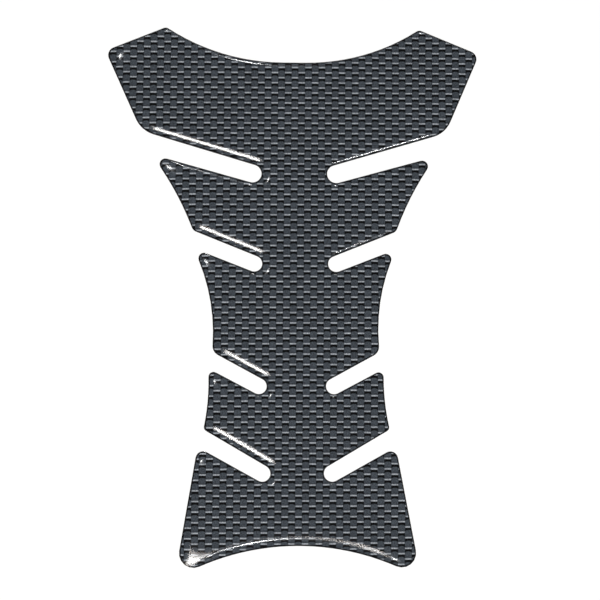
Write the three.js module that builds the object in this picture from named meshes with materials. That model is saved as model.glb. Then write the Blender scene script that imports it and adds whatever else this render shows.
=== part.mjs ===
// Motorcycle tank pad: a self-adhesive film, cut to a spine of ribs, under a poured dome of clear resin.
// Millimetres and degrees. The pad lies flat with its adhesive down: X across, Y along, Z up.
// The broad end of the pad points to +Y. The origin is under the middle of the pad, on its back.

import * as THREE from 'three';
import { mergeVertices } from 'three/addons/utils/BufferGeometryUtils.js';

// Thickness of the printed film with the adhesive on its back
const filmThickness = 0.3;

// The poured resin: a low wall at its edge, a curved meniscus, and a level top
const resinWall = 0.15;
const resinHeight = 1.65;
const meniscusWidth = 5;
const meniscusLength = 4.6;
const cornerSoftening = 0.6;

// Top edge: level in the middle, then hollow arcs that rise to the two horns
const topMiddle = 85;
const topLevelHalf = 4.2;
const topArcRadius = 74.6;
const hornHalfWidth = 45.9;
const hornRadius = 2;

// The shoulder is the widest point of the pad
const shoulderHalfWidth = 67.8;
const shoulderStation = 88.7;
const shoulderRadius = 3;

// Four slots a side part the pad into five ribs. Each slot runs out and up from its round end.
// station: where the end's centre lies along the pad. reach: its distance from the middle line.
// A slot gets a little wider towards its mouth by the flare.
const slots = [
  { station: 43.9, reach: 15.1, endRadius: 3.3, slope: 16.2, flare: 1.1 },
  { station: 11, reach: 14.7, endRadius: 2.9, slope: 21.8, flare: 0.5 },
  { station: -33.2, reach: 13.4, endRadius: 2.85, slope: 28.4, flare: 0.7 },
  { station: -64.3, reach: 12.4, endRadius: 2.95, slope: 29.9, flare: 1.4 },
];

// Below the shoulder each rib has a tip, above its side, and a heel, under it.
// The heel of a rib lies on the slot below it, and the tip of the next rib on the same slot.
// The hollow is how far the side between them bows towards the middle of the pad.
const shoulderRibHeel = { halfWidth: 55, radius: 10 };
const ribs = [
  { tipHalfWidth: 51.4, tipRadius: 2.1, hollow: 1.15, heelHalfWidth: 36.5, heelRadius: 2.8 },
  { tipHalfWidth: 36.4, tipRadius: 2, hollow: 2.65, heelHalfWidth: 29.9, heelRadius: 3.6 },
  { tipHalfWidth: 31.3, tipRadius: 1.8, hollow: 0.75, heelHalfWidth: 33.1, heelRadius: 1.6 },
];
const footTip = { halfWidth: 35.2, radius: 2.7 };

// Bottom edge: one hollow arc between the two feet
const footHalfWidth = 43.5;
const footRadius = 5.1;
const bottomMiddle = -89.9;
const bottomArcRadius = 87;

// How finely round stretches and the meniscus are divided
const cornerSteps = 6;
const slotEndSteps = 16;
const ribSideSteps = 6;
const topArcSteps = 12;
const bottomArcSteps = 12;
const meniscusSteps = 7;

const point = (x, y) => new THREE.Vector2(x, y);

// A turn of a quarter to the right: the way into the pad when its outline is walked clockwise
const rightOf = (v) => point(v.y, -v.x);

// An edge of the outline is a straight line or a hollow arc, whose centre lies outside the pad.
// Both can be moved into the pad, give the foot of a point on them, and be divided into steps.
class StraightEdge {
  constructor(from, to) {
    this.from = from;
    this.to = to;
    this.along = to.clone().sub(from).normalize();
  }

  inset(distance) {
    const step = rightOf(this.along).multiplyScalar(distance);
    return new StraightEdge(this.from.clone().add(step), this.to.clone().add(step));
  }

  footOf(p) {
    const run = p.clone().sub(this.from).dot(this.along);
    return this.from.clone().addScaledVector(this.along, run);
  }

  divide(start, end) {
    return [start, end];
  }
}

class HollowArc {
  constructor(centre, radius, steps) {
    this.centre = centre;
    this.radius = radius;
    this.steps = steps;
  }

  // The arc between two points that bows into the pad by the hollow
  static between(from, to, hollow, steps) {
    const chord = to.clone().sub(from);
    const half = chord.length() / 2;
    const radius = (half * half + hollow * hollow) / (2 * hollow);
    const middle = from.clone().add(to).multiplyScalar(0.5);
    const centre = middle.addScaledVector(rightOf(chord.normalize()), hollow - radius);
    return new HollowArc(centre, radius, steps);
  }

  inset(distance) {
    return new HollowArc(this.centre, this.radius + distance, this.steps);
  }

  footOf(p) {
    return p.clone().sub(this.centre).setLength(this.radius).add(this.centre);
  }

  divide(start, end) {
    return arcPoints(this.centre, start, end, this.steps, 1);
  }
}

// Points on a circle from start to end, anticlockwise for a turn of 1 and clockwise for -1
function arcPoints(centre, start, end, steps, turn) {
  const radius = start.distanceTo(centre);
  const first = Math.atan2(start.y - centre.y, start.x - centre.x);
  const last = Math.atan2(end.y - centre.y, end.x - centre.x);
  const fullTurn = 2 * Math.PI;
  const sweep = turn * ((((last - first) * turn) % fullTurn + fullTurn) % fullTurn);
  return Array.from({ length: steps + 1 }, (_, i) => {
    const angle = first + (sweep * i) / steps;
    return point(centre.x + radius * Math.cos(angle), centre.y + radius * Math.sin(angle));
  });
}

// Where two edges, or their extensions, cross: of two crossings, the one nearer to the guess
function crossing(a, b, guess) {
  if (a instanceof HollowArc && b instanceof StraightEdge) {
    return crossing(b, a, guess);
  }
  if (a instanceof StraightEdge && b instanceof StraightEdge) {
    const offset = b.from.clone().sub(a.from);
    const run = offset.cross(b.along) / a.along.cross(b.along);
    return a.from.clone().addScaledVector(a.along, run);
  }
  let middle;
  let direction;
  if (a instanceof StraightEdge) {
    middle = a.footOf(b.centre);
    direction = a.along;
  } else {
    const apart = b.centre.clone().sub(a.centre);
    const span = apart.length();
    direction = rightOf(apart.normalize());
    const run = (span * span + a.radius * a.radius - b.radius * b.radius) / (2 * span);
    middle = a.centre.clone().addScaledVector(apart, run);
  }
  const side = Math.sqrt(Math.max(b.radius * b.radius - middle.distanceToSquared(b.centre), 0));
  const ends = [side, -side].map((s) => middle.clone().addScaledVector(direction, s));
  return ends[0].distanceTo(guess) < ends[1].distanceTo(guess) ? ends[0] : ends[1];
}

// The level of a slot's upper or lower wall at a distance x from the middle line
function slotWall(slot, side) {
  const angle = THREE.MathUtils.degToRad(slot.slope + (side * slot.flare) / 2);
  const out = point(Math.cos(angle), Math.sin(angle));
  const endCentre = point(slot.reach, slot.station);
  const root = endCentre.clone().addScaledVector(rightOf(out), -side * slot.endRadius);
  const at = (x) => root.clone().addScaledVector(out, (x - root.x) / out.x);
  return { endCentre, root, at };
}

// The edges of the right half, clockwise from the top middle to the bottom middle.
// A corner joins each edge to the next one: a round of that radius, or null where they are tangent.
function halfEdges() {
  const topEnd = point(topLevelHalf, topMiddle);
  const topCentre = point(topLevelHalf, topMiddle + topArcRadius);
  const hornRun = hornHalfWidth - topLevelHalf;
  const horn = point(hornHalfWidth, topCentre.y - Math.sqrt(topArcRadius ** 2 - hornRun ** 2));
  const shoulder = point(shoulderHalfWidth, shoulderStation);
  const upper = slots.map((slot) => slotWall(slot, 1));
  const lower = slots.map((slot) => slotWall(slot, -1));
  const shoulderHeel = upper[0].at(shoulderRibHeel.halfWidth);

  const edges = [
    { edge: new StraightEdge(point(0, topMiddle), topEnd), corner: null },
    { edge: new HollowArc(topCentre, topArcRadius, topArcSteps), corner: hornRadius, at: horn },
    { edge: new StraightEdge(horn, shoulder), corner: shoulderRadius, at: shoulder },
    { edge: new StraightEdge(shoulder, shoulderHeel), corner: shoulderRibHeel.radius, at: shoulderHeel },
  ];

  slots.forEach((slot, i) => {
    const rib = ribs[i];
    const heel = i === 0 ? shoulderHeel : upper[i].at(ribs[i - 1].heelHalfWidth);
    const tip = lower[i].at(rib ? rib.tipHalfWidth : footTip.halfWidth);
    const slotEnd = new HollowArc(upper[i].endCentre, slot.endRadius, slotEndSteps);
    edges.push({ edge: new StraightEdge(heel, upper[i].root), corner: null });
    edges.push({ edge: slotEnd, corner: null });
    const tipRadius = rib ? rib.tipRadius : footTip.radius;
    edges.push({ edge: new StraightEdge(lower[i].root, tip), corner: tipRadius, at: tip });
    if (rib) {
      const nextHeel = upper[i + 1].at(rib.heelHalfWidth);
      const side = HollowArc.between(tip, nextHeel, rib.hollow, ribSideSteps);
      edges.push({ edge: side, corner: rib.heelRadius, at: nextHeel });
    }
  });

  const bottomCentre = point(0, bottomMiddle - bottomArcRadius);
  const footRise = Math.sqrt(bottomArcRadius ** 2 - footHalfWidth ** 2);
  const foot = point(footHalfWidth, bottomCentre.y + footRise);
  const footTipPoint = lower[slots.length - 1].at(footTip.halfWidth);
  edges.push({ edge: new StraightEdge(footTipPoint, foot), corner: footRadius, at: foot });
  edges.push({ edge: new HollowArc(bottomCentre, bottomArcRadius, bottomArcSteps), corner: null });
  return edges;
}

// The whole outline, moved into the pad by the inset and with its corners rounded off further.
// Every inset gives the same number of points, so that two outlines can be joined by a band.
function outline(inset) {
  const edges = halfEdges().map((entry) => ({ ...entry, edge: entry.edge.inset(inset) }));
  const last = edges.length - 1;
  const half = [];
  let start = point(0, edges[0].edge.from.y);
  edges.forEach(({ edge, corner, at }, i) => {
    if (i === last) {
      half.push(...edge.divide(start, point(0, bottomMiddle + inset)));
      return;
    }
    const next = edges[i + 1].edge;
    if (corner === null) {
      const joint = edge instanceof HollowArc ? next.from : edge.to;
      half.push(...edge.divide(start, joint).slice(0, -1));
      start = joint;
      return;
    }
    const radius = corner + cornerSoftening * inset;
    const centre = crossing(edge.inset(radius), next.inset(radius), at);
    const roundStart = edge.footOf(centre);
    const roundEnd = next.footOf(centre);
    half.push(...edge.divide(start, roundStart).slice(0, -1));
    half.push(...arcPoints(centre, roundStart, roundEnd, cornerSteps, -1).slice(0, -1));
    start = roundEnd;
  });
  const mirrored = half.slice(1, -1).map((p) => point(-p.x, p.y)).reverse();
  return [...half, ...mirrored].reverse();
}

// A closed solid through a stack of outlines of the same count, the lowest first, each at its height
function stackedSolid(rings) {
  const count = rings[0].points.length;
  const positions = rings.flatMap(({ points, z }) => points.flatMap((p) => [p.x, p.y, z]));
  const index = [];
  for (let ring = 0; ring < rings.length - 1; ring += 1) {
    for (let i = 0; i < count; i += 1) {
      const a = ring * count + i;
      const b = ring * count + ((i + 1) % count);
      index.push(a, b, b + count, a, b + count, a + count);
    }
  }
  const top = (rings.length - 1) * count;
  for (const [a, b, c] of THREE.ShapeUtils.triangulateShape(rings[0].points, [])) {
    index.push(a, c, b);
  }
  for (const [a, b, c] of THREE.ShapeUtils.triangulateShape(rings[rings.length - 1].points, [])) {
    index.push(top + a, top + b, top + c);
  }
  const geometry = new THREE.BufferGeometry();
  geometry.setAttribute('position', new THREE.Float32BufferAttribute(positions, 3));
  geometry.setIndex(index);
  const merged = mergeVertices(geometry);
  merged.computeVertexNormals();
  return merged;
}

// The film is the plain cut outline
function filmGeometry() {
  const points = outline(0);
  return stackedSolid([
    { points, z: 0 },
    { points, z: filmThickness },
  ]);
}

// Resin poured on the film stops at its cut edge and draws itself up into a meniscus: steep at the
// edge, as a liquid's surface is beside a wall, and run out so that it meets the level top smoothly.
function resinGeometry() {
  const rings = [{ points: outline(0), z: filmThickness }];
  for (let i = 0; i <= meniscusSteps; i += 1) {
    const inset = meniscusWidth * (i / meniscusSteps) ** 2;
    const left = 1 - inset / meniscusWidth;
    const rise = 1 - Math.exp(-inset / meniscusLength) * left * left;
    const z = filmThickness + resinWall + (resinHeight - resinWall) * rise;
    rings.push({ points: outline(inset), z });
  }
  return stackedSolid(rings);
}

const filmMaterial = new THREE.MeshStandardMaterial({
  name: 'carbon_print',
  color: 0x43474a,
  roughness: 0.5,
  metalness: 0,
});

const resinMaterial = new THREE.MeshStandardMaterial({
  name: 'clear_resin',
  color: 0xf4f6f7,
  roughness: 0.03,
  metalness: 0,
  transparent: true,
  opacity: 0.25,
});

const film = new THREE.Mesh(filmGeometry(), filmMaterial);
film.name = 'carbon_film';

const dome = new THREE.Mesh(resinGeometry(), resinMaterial);
dome.name = 'clear_dome';

const group = new THREE.Group();
group.add(film, dome);

// The outline's stations are counted from a level near its waist: this centres the pad along Y
const extent = new THREE.Box3().setFromObject(film);
group.position.y = -(extent.min.y + extent.max.y) / 2;

export default group;
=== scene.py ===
# %% [markdown]
# # A motorcycle tank pad under clear resin
# A tank pad is a thick sticker for the top of a fuel tank. Its printed film is cut to shape, and clear
# resin is poured on it. The resin stops at the film's cut edge and draws itself up into a dome.
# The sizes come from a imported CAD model, which this script opens first and never changes.
# We only make finer meshes over its two pieces, and give them their print, their gloss and their light.

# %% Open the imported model
import math
import bmesh
import bpy
from mathutils import Matrix, Vector


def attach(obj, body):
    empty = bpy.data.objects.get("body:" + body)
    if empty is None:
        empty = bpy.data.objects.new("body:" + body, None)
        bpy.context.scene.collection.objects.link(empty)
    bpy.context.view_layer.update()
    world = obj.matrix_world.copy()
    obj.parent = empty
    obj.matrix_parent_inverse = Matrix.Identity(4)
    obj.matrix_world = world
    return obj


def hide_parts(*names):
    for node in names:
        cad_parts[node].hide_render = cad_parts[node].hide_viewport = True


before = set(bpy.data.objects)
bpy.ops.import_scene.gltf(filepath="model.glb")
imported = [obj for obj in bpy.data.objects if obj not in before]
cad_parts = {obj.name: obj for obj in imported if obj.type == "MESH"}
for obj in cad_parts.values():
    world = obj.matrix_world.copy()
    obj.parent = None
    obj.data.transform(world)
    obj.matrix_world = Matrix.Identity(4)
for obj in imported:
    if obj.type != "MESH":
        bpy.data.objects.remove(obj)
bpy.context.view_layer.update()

MM = 0.001
print("CAD pieces:", sorted(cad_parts))

# %% [markdown]
# ## The camera
# The photograph looks almost straight down on the pad, through a long lens, from a little below its
# narrow end and a little to its left. A camera in Blender looks down its own -Z axis. So we turn an
# upright camera by two small tilts and a tiny roll, and then move it back along its own Z axis.
# The lens shift moves the picture in its frame without turning the camera.

# %% Make the camera
LENS_MM = 180.0
SENSOR_MM = 36.0
CAMERA_DISTANCE = 1.0704
TILT_DOWN = math.radians(10.08)
TILT_LEFT = math.radians(4.70)
ROLL = math.radians(0.29)
SHIFT_X = 0.00765
SHIFT_Y = -0.00946
NEAREST_SEEN = 0.01
FARTHEST_SEEN = 50.0

turn = (
    Matrix.Rotation(ROLL, 4, "Z")
    @ Matrix.Rotation(TILT_DOWN, 4, "X")
    @ Matrix.Rotation(-TILT_LEFT, 4, "Y")
)
camera_data = bpy.data.cameras.new("photo_camera")
camera_data.lens = LENS_MM
camera_data.sensor_width = SENSOR_MM
camera_data.shift_x = SHIFT_X
camera_data.shift_y = SHIFT_Y
camera_data.clip_start = NEAREST_SEEN
camera_data.clip_end = FARTHEST_SEEN
camera = bpy.data.objects.new("photo_camera", camera_data)
camera.matrix_world = turn @ Matrix.Translation((0, 0, CAMERA_DISTANCE))
bpy.context.scene.collection.objects.link(camera)
bpy.context.scene.camera = camera
print("camera stands at", [round(c, 3) for c in camera.matrix_world.translation], "m")

# %% [markdown]
# ## From loose CAD triangles back to rings of quads
# The CAD model arrives as loose triangles. Once their doubled corners are merged, the dome is a stack
# of outlines, each a little further in and a little higher, with bands of triangles between them.
# We want quads that follow the outline, because smooth shading looks clean on them. Each quad of a band
# was cut by one diagonal. Going round a triangle that has two corners on the lower ring and one on the
# upper ring, the edge that leaves the upper corner is that diagonal. We dissolve it, and we dissolve
# the triangles of the two level faces into one face each. A Python set has no fixed order, so the edges
# are put back in the order of the mesh first, and the result is the same on each run.

# %% Tell the outlines of a piece apart
MERGE_DISTANCE = 1e-6
LEVEL_DIGITS = 5


def ring_levels(shell):
    """The heights at which the shell has outlines, and the number of each corner's own outline."""
    heights = sorted({round(v.co.z, LEVEL_DIGITS) for v in shell.verts})
    level_of = {v: heights.index(round(v.co.z, LEVEL_DIGITS)) for v in shell.verts}
    return heights, level_of


def is_level(face, level_of):
    """True where all corners of a face lie on one outline."""
    return len({level_of[v] for v in face.verts}) == 1


# %% Merge both CAD pieces and rebuild their rings
def rings_from_cad(node):
    """A merged copy of a CAD piece, with quads between its outlines and one face on each level side."""
    shell = bmesh.new()
    shell.from_mesh(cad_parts[node].data)
    bmesh.ops.remove_doubles(shell, verts=shell.verts, dist=MERGE_DISTANCE)
    heights, level_of = ring_levels(shell)
    inner_edges = set()
    for face in shell.faces:
        levels = [level_of[v] for v in face.verts]
        if is_level(face, level_of):
            inner_edges.update(e for e in face.edges if all(is_level(f, level_of) for f in e.link_faces))
        elif levels.count(max(levels)) == 1:
            upper = next(loop for loop in face.loops if level_of[loop.vert] == max(levels))
            inner_edges.add(upper.edge)
    in_order = [e for e in shell.edges if e in inner_edges]
    bmesh.ops.dissolve_edges(shell, edges=in_order, use_verts=False)
    return shell, heights


film, film_heights = rings_from_cad("carbon_film")
dome, dome_heights = rings_from_cad("clear_dome")
for name, shell, heights in (("film", film, film_heights), ("dome", dome, dome_heights)):
    sides = sorted({len(f.verts) for f in shell.faces})
    print(name, "outlines at", [round(h / MM, 2) for h in heights], "mm; faces have", sides, "corners")

# %% [markdown]
# ## The poured dome
# The real resin's surface is a liquid's surface beside an edge: steep at the edge, then flatter and
# flatter over a few millimetres. Every bright line in the photograph sits where that slope turns a lamp
# towards the camera, so the slope has to be right and smooth. The CAD rings give its plan. We cut long
# edges so that a round corner's shading can't run along a straight side, we add rings between the CAD
# rings, and we lift every new ring onto the same curve that the CAD rings lie on.

# %% Cut the dome's long sides
SIDE_STEP = 1.2 * MM


def strip_above(edge, face):
    """The edge and the ones opposite it, quad after quad, up to the level top."""
    strip = [edge]
    while len(face.verts) == 4:
        loop = next(one for one in face.loops if one.edge is edge)
        edge = loop.link_loop_next.link_loop_next.edge
        strip.append(edge)
        face = next(other for other in edge.link_faces if other is not face)
    return strip


def cut_long_sides(shell, foot_height):
    """Cuts every strip of quads whose foot is longer than a step into steps."""
    by_cuts = {}
    for edge in shell.edges:
        if all(abs(v.co.z - foot_height) < MERGE_DISTANCE for v in edge.verts):
            cuts = math.ceil(edge.calc_length() / SIDE_STEP) - 1
            wall = next(f for f in edge.link_faces if len(f.verts) == 4)
            by_cuts.setdefault(cuts, []).extend(strip_above(edge, wall))
    for cuts, edges in by_cuts.items():
        if cuts > 0:
            bmesh.ops.subdivide_edges(shell, edges=edges, cuts=cuts, use_only_quads=True)


cut_long_sides(dome, dome_heights[0])
print("dome after its long sides are cut:", len(dome.verts), "points")

# %% [markdown]
# The curve rises like a liquid at a wall and is faded out over the width of the meniscus, so that it
# meets the level top without a crease. A short upright wall stands under it, at the film's cut edge.
# How far in a ring lies isn't stored in the mesh. We find it from the ring's height by halving: we try
# the middle of a stretch, and keep the half in which the curve reaches that height.

# %% The curve of the meniscus
DOME_WALL_LEVEL = 1
DOME_FOOT = dome_heights[0]
DOME_WALL_TOP = dome_heights[DOME_WALL_LEVEL]
DOME_TOP = dome_heights[-1]
MENISCUS_WIDTH = 5.0 * MM
MENISCUS_LENGTH = 4.6 * MM
HALVINGS = 40


def height_at(inset):
    """The height of the resin at a distance in from the outline."""
    left = 1 - inset / MENISCUS_WIDTH
    rise = 1 - math.exp(-inset / MENISCUS_LENGTH) * left * left
    return DOME_WALL_TOP + (DOME_TOP - DOME_WALL_TOP) * rise


def inset_at(height):
    """How far in from the outline the resin reaches a height."""
    low, high = 0.0, MENISCUS_WIDTH
    for _ in range(HALVINGS):
        middle = (low + high) / 2
        if height_at(middle) < height:
            low = middle
        else:
            high = middle
    return low


print("the dome's rings lie", [round(inset_at(h) / MM, 2) for h in dome_heights[1:]], "mm in")

# %% [markdown]
# A number layer on the points holds how far in they lie. A cut through an edge gives the new points
# numbers between those of its ends, and then the curve gives every point its height. Last, the level top
# gets a thin rim of its own. Smooth shading blends the slope into the rim, and the face inside it stays
# as flat as a pool.

# %% Raise the dome
RING_CUTS = 3
SINK_IN_FILM = 0.02 * MM
LEVEL_RIM = 0.3 * MM

inset_layer = dome.verts.layers.float.new("inset")
for vert in dome.verts:
    vert[inset_layer] = inset_at(vert.co.z)
_, level_of = ring_levels(dome)
rungs = [
    e for e in dome.edges
    if level_of[e.verts[0]] != level_of[e.verts[1]] and min(level_of[v] for v in e.verts) >= DOME_WALL_LEVEL
]
bmesh.ops.subdivide_edges(dome, edges=rungs, cuts=RING_CUTS, use_only_quads=True)
for vert in dome.verts:
    if vert.co.z > DOME_WALL_TOP - MERGE_DISTANCE:
        vert.co.z = height_at(vert[inset_layer])
    elif vert.co.z < DOME_FOOT + MERGE_DISTANCE:
        vert.co.z = DOME_FOOT - SINK_IN_FILM
dome_top = max(dome.faces, key=lambda f: f.calc_center_median().z)
bmesh.ops.inset_region(dome, faces=[dome_top], thickness=LEVEL_RIM, use_even_offset=True)
print("dome:", len(dome.faces), "faces, top at", round(max(v.co.z for v in dome.verts) / MM, 2), "mm")

# %% [markdown]
# ## The printed film
# The film keeps its CAD form: a flat sheet with a clean cut edge. A thin black line runs round the whole
# pad:
# partly the film's black margin, where its print stops just short of the cut, and partly painted shade for
# the dark that the resin's steep edge shows there. We inset the top face by the width of that line and mark
# the new points with 1 and the cut edge with 0. The material reads that number to place the line.
# The back gets a material of its own, because it is coated with adhesive and not printed.

# %% Mark the film's black edge line and its back
# The black line's width: partly the film's edge ink, partly painted shade of the resin's steep edge.
EDGE_LINE = 0.64 * MM
PRINT_SLOT, ADHESIVE_SLOT = 0, 1

print_layer = film.verts.layers.float.new("print_reach")
film_top = max(film.faces, key=lambda f: f.calc_center_median().z)
bmesh.ops.inset_region(film, faces=[film_top], thickness=EDGE_LINE, use_even_offset=True)
for vert in film_top.verts:
    vert[print_layer] = 1.0
for face in film.faces:
    face.material_index = PRINT_SLOT
film_back = min(film.faces, key=lambda f: f.calc_center_median().z)
film_back.material_index = ADHESIVE_SLOT
print("film:", len(film.faces), "faces,", len(film_top.verts), "points round the print")

# %% [markdown]
# ## Two finished pieces
# A bmesh is only a workbench, so each one is written into a mesh that an object can show. The meniscus
# has to look smooth and the film's cut edge has to stay crisp. So everything is shaded smooth, and edges
# that turn by more than a set angle are marked sharp. Then the CAD pieces are hidden, and each new piece
# is told which body it moves with. Its finish is given further down.

# %% Turn both meshes into pieces
SMOOTH_BELOW = math.radians(35)


def make_piece(shell, name):
    """A named object at the origin from a finished bmesh, smooth except at its sharp edges."""
    mesh = bpy.data.meshes.new(name)
    shell.to_mesh(mesh)
    shell.free()
    mesh.shade_smooth()
    mesh.set_sharp_from_angle(angle=SMOOTH_BELOW)
    piece = bpy.data.objects.new(name, mesh)
    bpy.context.scene.collection.objects.link(piece)
    print(name, "has", len(mesh.vertices), "points and", len(mesh.polygons), "faces")
    return piece


printed_film = make_piece(film, "printed_film")
resin_dome = make_piece(dome, "resin_dome")
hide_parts("carbon_film")
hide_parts("clear_dome")
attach(printed_film, "root")
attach(resin_dome, "root")

# %% [markdown]
# ## The woven print
# The film is printed with a plain weave. Each column shows one strand after another, and every second
# column is moved by half a strand. A strand starts with a pale glint where it rises over the thread
# that crosses it. Under the glint lies a black shadow, which arches over the rounded top of the next
# strand. A photograph of real cloth would give this too, but a picture can't be sharpened or resized,
# and a formula can. We build it once as a node group that puts out colours and masks.
# A node tree is long to write, so we start with helpers that each place one or two nodes.

# %% Helpers that wire nodes
def wire(tree, source, socket):
    """Puts a number or another node's output into a socket."""
    if isinstance(source, bpy.types.NodeSocket):
        tree.links.new(source, socket)
    else:
        socket.default_value = source


def calc(tree, operation, *values, clamp=False):
    """A Math node with its inputs, given as numbers or sockets."""
    node = tree.nodes.new("ShaderNodeMath")
    node.operation = operation
    node.use_clamp = clamp
    for value, socket in zip(values, node.inputs):
        wire(tree, value, socket)
    return node.outputs[0]


def calc_place(tree, operation, place, vector):
    """A Vector Math node that works on a place and a fixed vector."""
    node = tree.nodes.new("ShaderNodeVectorMath")
    node.operation = operation
    tree.links.new(place, node.inputs[0])
    node.inputs[1].default_value = vector
    return node


def ease(tree, value, start, end):
    """Goes smoothly from 0 to 1 while the value goes from start to end."""
    node = tree.nodes.new("ShaderNodeMapRange")
    node.interpolation_type = "SMOOTHSTEP"
    wire(tree, value, node.inputs["Value"])
    wire(tree, start, node.inputs["From Min"])
    wire(tree, end, node.inputs["From Max"])
    return node.outputs["Result"]


# %% Helpers for colour and noise
MIX_SHARE, MIX_FIRST, MIX_SECOND, MIX_COLOUR = 0, 6, 7, 2


def blend_colours(tree, share, first, second, mode="MIX"):
    """A colour Mix node: the share of the second colour over the first."""
    node = tree.nodes.new("ShaderNodeMix")
    node.data_type = "RGBA"
    node.blend_type = mode
    wire(tree, share, node.inputs[MIX_SHARE])
    wire(tree, first, node.inputs[MIX_FIRST])
    wire(tree, second, node.inputs[MIX_SECOND])
    return node.outputs[MIX_COLOUR]


def noise(tree, place, scale, detail, dimensions="3D"):
    """A Noise Texture that varies softly between 0 and 1."""
    node = tree.nodes.new("ShaderNodeTexNoise")
    node.noise_dimensions = dimensions
    tree.links.new(place, node.inputs["Vector"])
    node.inputs["Scale"].default_value = scale
    node.inputs["Detail"].default_value = detail
    return node.outputs[0]


def vary(tree, value, contrast):
    """A factor round 1 that follows a value between 0 and 1."""
    return calc(tree, "MULTIPLY_ADD", value, contrast, 1 - contrast / 2)


# %% [markdown]
# Two small waves place the lattice: one counts columns across the pad and one counts strands along it.
# The print isn't quite square to the pad: its rows turn a little and its columns lean a little more.
# The two directions of the lattice are the columns of a matrix, and the rows of its inverse are the waves.

# %% The weave's lattice
COLUMN_PITCH = 2.431 * MM
STRAND_PITCH = 3.742 * MM
ROW_TURN = math.radians(0.23)
COLUMN_LEAN = math.radians(0.97)
COLUMN_START = -0.167
STRAND_START = 0.189

across = Vector((math.cos(ROW_TURN), math.sin(ROW_TURN))) * COLUMN_PITCH
along = Vector((math.sin(COLUMN_LEAN), math.cos(COLUMN_LEAN))) * STRAND_PITCH
lattice = Matrix(((across.x, along.x), (across.y, along.y))).inverted()
column_wave = (lattice[0][0], lattice[0][1], 0.0)
strand_wave = (lattice[1][0], lattice[1][1], 0.0)


def count_along(tree, place, wave, start):
    """How many columns or strands there are up to a place."""
    return calc(tree, "ADD", calc_place(tree, "DOT_PRODUCT", place, wave).outputs["Value"], start)


print("one column every", round(COLUMN_PITCH / MM, 2), "mm, one strand every", round(STRAND_PITCH / MM, 2))

# %% [markdown]
# Down a strand, a number goes from 0 at its upper end to 1 at its lower end. Another one goes from 0 in
# the strand's middle to 1 at both of its sides. The glint and the shadow are soft bands of the first
# number, and the shadow's lower end is bent by the second, which gives the arch.

# %% The glint and the shadow
GLINT_TOP = 0.055
GLINT_BOTTOM = 0.185
SHADOW_BOTTOM = 0.42
SHADOW_ARCH = 0.13
ARCH_POWER = 3.0
SOFT = 0.02


def glint_mask(tree, down, rim):
    """1 on the glint at the upper end of a strand, and 0 elsewhere and along the strand's sides."""
    band = calc(
        tree, "MULTIPLY",
        ease(tree, down, GLINT_TOP - SOFT, GLINT_TOP + SOFT),
        ease(tree, down, GLINT_BOTTOM + SOFT, GLINT_BOTTOM - SOFT),
    )
    return calc(tree, "MULTIPLY", band, calc(tree, "SUBTRACT", 1.0, rim))


def shadow_mask(tree, down, side):
    """1 in the shadow, which reaches further down beside a strand's rounded top than over its middle."""
    bend = calc(tree, "MULTIPLY", calc(tree, "POWER", side, ARCH_POWER), SHADOW_ARCH)
    unbent = calc(tree, "SUBTRACT", down, bend)
    return calc(
        tree, "MULTIPLY",
        ease(tree, down, GLINT_BOTTOM - SOFT, GLINT_BOTTOM + SOFT),
        ease(tree, unbent, SHADOW_BOTTOM + SOFT, SHADOW_BOTTOM - SOFT),
    )


print("a glint is", round((GLINT_BOTTOM - GLINT_TOP) * STRAND_PITCH / MM, 2), "mm long")

# %% [markdown]
# A print that is too even looks drawn. So each strand has fine fibres along it, the ink is mottled, and
# each strand is by chance a little lighter or darker as a whole. White noise gives the same strand the
# same chance each time, because it works from the strand's column and number.

# %% Fibres and uneven ink
FIBRES_PER_METRE = 16000.0
FIBRE_STRETCH = 25
FIBRE_DETAIL = 1.0
FIBRE_LOW, FIBRE_HIGH = 0.3, 0.7
MOTTLES_PER_METRE = 2300.0
MOTTLE_DETAIL = 2.0
MOTTLE_LOW, MOTTLE_HIGH = 0.25, 0.75
MOTTLE_CONTRAST = 0.84
CHANCE_CONTRAST = 0.2


def fibre_streaks(tree, place):
    """Fine streaks that run along the strands, from 0 to 1."""
    grain = (FIBRES_PER_METRE, FIBRES_PER_METRE / FIBRE_STRETCH, 0)
    stretched = calc_place(tree, "MULTIPLY", place, grain).outputs[0]
    fibres = noise(tree, stretched, scale=1.0, detail=FIBRE_DETAIL, dimensions="2D")
    return ease(tree, fibres, FIBRE_LOW, FIBRE_HIGH)


def uneven_ink(tree, place, column_number, strand_number):
    """A factor round 1 for the ink's mottle and for each strand's own shade."""
    mottles = noise(tree, place, MOTTLES_PER_METRE, MOTTLE_DETAIL, dimensions="2D")
    mottle = ease(tree, mottles, MOTTLE_LOW, MOTTLE_HIGH)
    strand_name = tree.nodes.new("ShaderNodeCombineXYZ")
    wire(tree, column_number, strand_name.inputs[0])
    wire(tree, strand_number, strand_name.inputs[1])
    chance = tree.nodes.new("ShaderNodeTexWhiteNoise")
    chance.noise_dimensions = "2D"
    tree.links.new(strand_name.outputs[0], chance.inputs["Vector"])
    shade = vary(tree, chance.outputs["Value"], CHANCE_CONTRAST)
    return calc(tree, "MULTIPLY", vary(tree, mottle, MOTTLE_CONTRAST), shade)


print("about one fibre every", round(1 / FIBRES_PER_METRE / MM, 3), "mm")

# %% [markdown]
# The strand itself gets darker towards its lower end, where it dives under the next crossing thread, and
# along its two sides. Its height follows the same numbers: it is a rounded crown that falls away in the
# shadow, with the fibres as a fine relief on it.

# %% The light and the height of a strand
STRAND_LIGHT = 1.08
TAIL_START = 0.8
TAIL_DARKENS = 0.34
RIM_DARKENS = 0.22
FIBRE_CONTRAST = 0.24
FIBRE_RELIEF = 0.15


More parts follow.
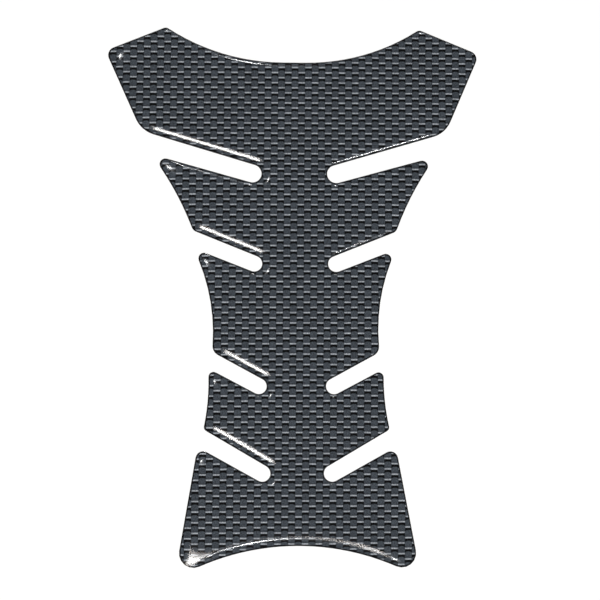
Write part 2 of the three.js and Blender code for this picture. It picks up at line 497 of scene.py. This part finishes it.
def strand_light(tree, down, rim, streak, uneven):
    """How light the strand's ink is at each place."""
    tail = ease(tree, down, TAIL_START, 1.0)
    light = calc(tree, "SUBTRACT", STRAND_LIGHT, calc(tree, "MULTIPLY", tail, TAIL_DARKENS))
    light = calc(tree, "SUBTRACT", light, calc(tree, "MULTIPLY", rim, RIM_DARKENS))
    light = calc(tree, "MULTIPLY", light, vary(tree, streak, FIBRE_CONTRAST))
    return calc(tree, "MULTIPLY", light, uneven)


def strand_height(tree, side, shadow, streak):
    """The relief of a strand, from 0 in its shadow and at its sides to about 1 on its crown."""
    crown = calc(tree, "SUBTRACT", 1.0, calc(tree, "MULTIPLY", side, side))
    height = calc(tree, "MULTIPLY", crown, calc(tree, "SUBTRACT", 1.0, shadow))
    return calc(tree, "ADD", height, calc(tree, "MULTIPLY", streak, FIBRE_RELIEF))


rim_share = RIM_DARKENS / STRAND_LIGHT
print("a strand's sides are", round(rim_share * 100), "parts in a hundred darker than its middle")

# %% [markdown]
# Now the parts come together in the node group. It takes a place on the pad and puts out the print's
# colour, its roughness and its height. Every second column is moved by half a strand before the strands
# are counted, and that one step turns a grid of bricks into a weave.

# %% The weave's node group
GLINT_COLOUR = (0.255, 0.277, 0.307, 1)
SHADOW_COLOUR = (0.0004, 0.0005, 0.0007, 1)
STRAND_COLOUR = (0.0362, 0.0434, 0.0528, 1)
RIM_START = 0.86
PRINT_ROUGHNESS = 0.62
GLINT_POLISH = 0.2


def new_weave():
    """An empty node group for the weave, with the node that is given its place and the one for results."""
    group = bpy.data.node_groups.new("woven_print", "ShaderNodeTree")
    group.interface.new_socket("Vector", in_out="INPUT", socket_type="NodeSocketVector")
    group.interface.new_socket("Color", in_out="OUTPUT", socket_type="NodeSocketColor")
    group.interface.new_socket("Roughness", in_out="OUTPUT", socket_type="NodeSocketFloat")
    group.interface.new_socket("Height", in_out="OUTPUT", socket_type="NodeSocketFloat")
    return group, group.nodes.new("NodeGroupInput"), group.nodes.new("NodeGroupOutput")


def weave_group():
    """Finds the strand at each place and paints it from its glint down to its lower end."""
    group, given, made = new_weave()
    place = given.outputs["Vector"]
    column = count_along(group, place, column_wave, COLUMN_START)
    strand = count_along(group, place, strand_wave, STRAND_START)
    column_number = calc(group, "FLOOR", column)
    offset = calc(group, "MULTIPLY", calc(group, "FLOORED_MODULO", column_number, 2.0), 0.5)
    down = calc(group, "FRACT", calc(group, "SUBTRACT", offset, strand))
    strand_number = calc(group, "FLOOR", calc(group, "SUBTRACT", strand, offset))
    from_middle = calc(group, "SUBTRACT", calc(group, "FRACT", column), 0.5)
    side = calc(group, "MULTIPLY", calc(group, "ABSOLUTE", from_middle), 2.0)
    rim = ease(group, side, RIM_START, 1.0)

    glint = glint_mask(group, down, rim)
    shadow = shadow_mask(group, down, side)
    streak = fibre_streaks(group, place)
    uneven = uneven_ink(group, place, column_number, strand_number)

    light = strand_light(group, down, rim, streak, uneven)
    strand_ink = blend_colours(group, 1.0, STRAND_COLOUR, light, "MULTIPLY")
    glint_ink = blend_colours(group, 1.0, GLINT_COLOUR, uneven, "MULTIPLY")
    colour = blend_colours(group, shadow, strand_ink, SHADOW_COLOUR)
    colour = blend_colours(group, glint, colour, glint_ink)
    polish = calc(group, "MULTIPLY", glint, GLINT_POLISH)
    wire(group, colour, made.inputs["Color"])
    wire(group, calc(group, "SUBTRACT", PRINT_ROUGHNESS, polish), made.inputs["Roughness"])
    wire(group, strand_height(group, side, shadow, streak), made.inputs["Height"])
    return group


woven_print = weave_group()
print("woven print:", len(woven_print.nodes), "nodes")

# %% [markdown]
# ## The film's two finishes
# The film's face is matte vinyl, because all of the pad's gloss comes from the resin over it. Its colour
# is the weave inside and black outside: partly edge ink and partly painted shade for the dark steep edge of
# the resin. The number layer from before says where one gives way to the other. A Bump node turns the
# weave's height into a very shallow relief.

# %% The printed face
# The black at the edge: partly the film's black margin, partly painted shade of the resin's dark steep
# edge.
EDGE_INK_AND_PAINTED_SHADE = (0.001, 0.001, 0.0012, 1)
EDGE_BLACK_ENDS = 0.75
RELIEF = 0.01 * MM
RELIEF_STRENGTH = 0.3
VINYL_SHINE = 0.02


def new_material(name):
    """A material with its Principled shader and its node tree."""
    material = bpy.data.materials.new(name)
    material.use_nodes = True
    tree = material.node_tree
    return material, tree, tree.nodes["Principled BSDF"]


def place_on_piece(tree):
    """Where a point lies on its own piece, in metres."""
    return tree.nodes.new("ShaderNodeTexCoord").outputs["Object"]


def print_material():
    """The weave inside the black edge line, on matte vinyl."""
    material, tree, shader = new_material("carbon_print")
    weave = tree.nodes.new("ShaderNodeGroup")
    weave.node_tree = woven_print
    tree.links.new(place_on_piece(tree), weave.inputs["Vector"])
    reach = tree.nodes.new("ShaderNodeAttribute")
    reach.attribute_name = "print_reach"
    # Black near the cut edge is partly edge ink and partly painted shade of the resin's steep edge.
    inside = ease(tree, reach.outputs["Fac"], EDGE_BLACK_ENDS, 1.0)
    colour = blend_colours(tree, inside, EDGE_INK_AND_PAINTED_SHADE, weave.outputs["Color"])
    tree.links.new(colour, shader.inputs["Base Color"])
    tree.links.new(weave.outputs["Roughness"], shader.inputs["Roughness"])
    bump = tree.nodes.new("ShaderNodeBump")
    bump.inputs["Strength"].default_value = RELIEF_STRENGTH
    bump.inputs["Distance"].default_value = RELIEF
    tree.links.new(weave.outputs["Height"], bump.inputs["Height"])
    tree.links.new(bump.outputs["Normal"], shader.inputs["Normal"])
    shader.inputs["Specular IOR Level"].default_value = VINYL_SHINE
    return material


printed_film.data.materials.append(print_material())
print("the black line is", round(EDGE_LINE * EDGE_BLACK_ENDS / MM, 2), "mm wide before it gives way to the print")

# %% [markdown]
# The back is coated with acrylic adhesive. We can't see it in the photograph, so it gets a plain grey
# with a slight mottle, as a coated surface has, in its colour and in its gloss.

# %% The adhesive back
ADHESIVE_DARK = (0.30, 0.30, 0.29, 1)
ADHESIVE_PALE = (0.42, 0.42, 0.40, 1)
COATING_PER_METRE = 900.0
COATING_DETAIL = 3.0
ADHESIVE_ROUGHNESS = 0.2
COATING_ROUGHENS = 0.2


def adhesive_material():
    """Grey adhesive with the slight mottle of its coating."""
    material, tree, shader = new_material("adhesive_back")
    coating = noise(tree, place_on_piece(tree), COATING_PER_METRE, COATING_DETAIL)
    colour = blend_colours(tree, coating, ADHESIVE_DARK, ADHESIVE_PALE)
    rough = calc(tree, "MULTIPLY_ADD", coating, COATING_ROUGHENS, ADHESIVE_ROUGHNESS)
    tree.links.new(colour, shader.inputs["Base Color"])
    tree.links.new(rough, shader.inputs["Roughness"])
    return material


printed_film.data.materials.append(adhesive_material())
print("film finishes:", [m.name for m in printed_film.data.materials])

# %% [markdown]
# ## The clear resin
# Poured polyurethane is glass-like: it bends light with an index of about 1.49 and reflects about four
# parts in a hundred. A Principled shader with full transmission does both. Blender would let no lamp
# through such a body, because a shadow ray stops at glass. So shadow rays, and rays that the print
# scatters, go through a Transparent shader, and the print is lit as it is under real resin.

# %% The resin's material
RESIN_IOR = 1.49
RESIN_ROUGHNESS = 0.105
HAZE_PER_METRE = 260.0
HAZE_DETAIL = 2.0
HAZE_ROUGHENS = 0.03


def show_mixed(tree, share, first, second):
    """Makes the surface a mix of two shaders: the share of the second over the first."""
    mix = tree.nodes.new("ShaderNodeMixShader")
    tree.links.new(share, mix.inputs[0])
    tree.links.new(first.outputs[0], mix.inputs[1])
    tree.links.new(second.outputs[0], mix.inputs[2])
    tree.links.new(mix.outputs[0], tree.nodes["Material Output"].inputs["Surface"])


def resin_material():
    """Clear glossy resin that lets lamps light what is under it."""
    material, tree, shader = new_material("clear_resin")
    shader.inputs["Base Color"].default_value = (1.0, 1.0, 1.0, 1)
    shader.inputs["Transmission Weight"].default_value = 1.0
    shader.inputs["IOR"].default_value = RESIN_IOR
    haze = noise(tree, place_on_piece(tree), HAZE_PER_METRE, HAZE_DETAIL)
    rough = calc(tree, "MULTIPLY_ADD", haze, HAZE_ROUGHENS, RESIN_ROUGHNESS)
    tree.links.new(rough, shader.inputs["Roughness"])
    path = tree.nodes.new("ShaderNodeLightPath")
    through = calc(tree, "MAXIMUM", path.outputs["Is Shadow Ray"], path.outputs["Is Diffuse Ray"])
    show_mixed(tree, through, shader, tree.nodes.new("ShaderNodeBsdfTransparent"))
    return material


resin_dome.data.materials.append(resin_material())
mirrored = ((RESIN_IOR - 1) / (RESIN_IOR + 1)) ** 2
print("the resin mirrors", round(mirrored * 100, 1), "parts in a hundred, seen straight on")

# %% [markdown]
# ## The floor
# The photograph's background is plain white. A lit floor keeps the pad's soft shadow, and a share of
# even white, which only the camera, glossy and transmitted rays see, brings it up to white without
# putting more light on the pad.

# %% Lay the floor
FLOOR_SIZE = 6.0
FLOOR_DROP = 0.05 * MM

floor_shape = bmesh.new()
bmesh.ops.create_grid(floor_shape, x_segments=1, y_segments=1, size=FLOOR_SIZE / 2)
bmesh.ops.translate(floor_shape, verts=floor_shape.verts, vec=(0, 0, -FLOOR_DROP))
floor_mesh = bpy.data.meshes.new("floor")
floor_shape.to_mesh(floor_mesh)
floor_shape.free()
floor = bpy.data.objects.new("floor", floor_mesh)
bpy.context.scene.collection.objects.link(floor)
print("floor:", FLOOR_SIZE, "m wide,", round(FLOOR_DROP / MM, 2), "mm under the pad")

# %% The floor's material
FLOOR_COLOUR = (0.9, 0.9, 0.9, 1)
FLOOR_ROUGHNESS = 0.9
EVEN_WHITE = 0.8


def floor_material():
    """Matte white that looks even to the camera and in reflections."""
    material, tree, shader = new_material("floor_white")
    shader.inputs["Base Color"].default_value = FLOOR_COLOUR
    shader.inputs["Roughness"].default_value = FLOOR_ROUGHNESS
    shader.inputs["Specular IOR Level"].default_value = 0.0
    path = tree.nodes.new("ShaderNodeLightPath")
    seen = calc(tree, "ADD", path.outputs["Is Camera Ray"], path.outputs["Is Glossy Ray"])
    seen = calc(tree, "ADD", seen, path.outputs["Is Transmission Ray"], clamp=True)
    white_share = calc(tree, "MULTIPLY", seen, EVEN_WHITE)
    show_mixed(tree, white_share, shader, tree.nodes.new("ShaderNodeEmission"))
    return material


floor_mesh.materials.append(floor_material())
print("the floor is", round(EVEN_WHITE * 100), "parts in a hundred even white")

# %% [markdown]
# ## The light
# A glossy dome shows each lamp as a shape, so the lamps are placed by their reflections. Each one is a
# rectangular softbox that looks at the pad. Its direction is given as a compass bearing on the floor,
# from +Y towards +X, and an angle from straight up. Its size is the angle that it fills, seen from the
# pad, and its brightness is what a mirror would show, where 1 is white paper. The key softbox gives the
# print nearly all its light. It has a hot core and a warm, dim fringe, so its bands along the slots fade
# out at both sides. The small ones only draw the thin lines and dots on the far edges.

# %% Hang the lamps
LAMP_DISTANCE = 1.6
NEARLY_WHITE = (1.0, 0.985, 0.965)
WARM = (1.0, 0.9, 0.82)


def softbox(name, bearing, from_top, width, length, brightness, colour=(1, 1, 1)):
    """A rectangular lamp that faces the pad, with its length pointing away from straight up."""
    data = bpy.data.lights.new(name, "AREA")
    data.shape = "RECTANGLE"
    data.size = 2 * LAMP_DISTANCE * math.tan(math.radians(width) / 2)
    data.size_y = 2 * LAMP_DISTANCE * math.tan(math.radians(length) / 2)
    data.energy = brightness * math.pi * data.size * data.size_y
    data.color = colour
    lamp = bpy.data.objects.new(name, data)
    lamp.matrix_world = (
        Matrix.Rotation(math.radians(-bearing), 4, "Z")
        @ Matrix.Rotation(math.radians(-from_top), 4, "X")
        @ Matrix.Translation((0, 0, LAMP_DISTANCE))
    )
    bpy.context.scene.collection.objects.link(lamp)
    watts = round(data.energy, 1)
    print(name, "is", round(data.size, 2), "by", round(data.size_y, 2), "m and gives", watts, "W")


softbox("key_core", bearing=201, from_top=23, width=12, length=9, brightness=29, colour=NEARLY_WHITE)
softbox("key_softbox", bearing=201, from_top=22.5, width=15, length=18, brightness=17, colour=NEARLY_WHITE)
softbox("key_fringe", bearing=201, from_top=22.5, width=19, length=26, brightness=5.5, colour=WARM)
softbox("foot_strip", bearing=161, from_top=25, width=3, length=5, brightness=80)
softbox("front_strip", bearing=150, from_top=54, width=7, length=4, brightness=55)
softbox("back_strip", bearing=10, from_top=66, width=4, length=4, brightness=70)
softbox("side_strip", bearing=328, from_top=26.5, width=5, length=2, brightness=75)

# %% [markdown]
# A real studio has pale walls too, which send a little light into every shadow. A dim, slightly cool
# world does that here. The Standard view shows the colours as they were written.

# %% Fill the shadows
WALL_COLOUR = (0.9, 0.95, 1.0, 1)
WALL_LEVEL = 0.08

world = bpy.data.worlds.new("studio")
world.use_nodes = True
world.node_tree.nodes["Background"].inputs["Color"].default_value = WALL_COLOUR
world.node_tree.nodes["Background"].inputs["Strength"].default_value = WALL_LEVEL
bpy.context.scene.world = world
bpy.context.scene.view_settings.view_transform = "Standard"
print("the walls are about", round(WALL_LEVEL * 100), "parts in a hundred as bright as white")
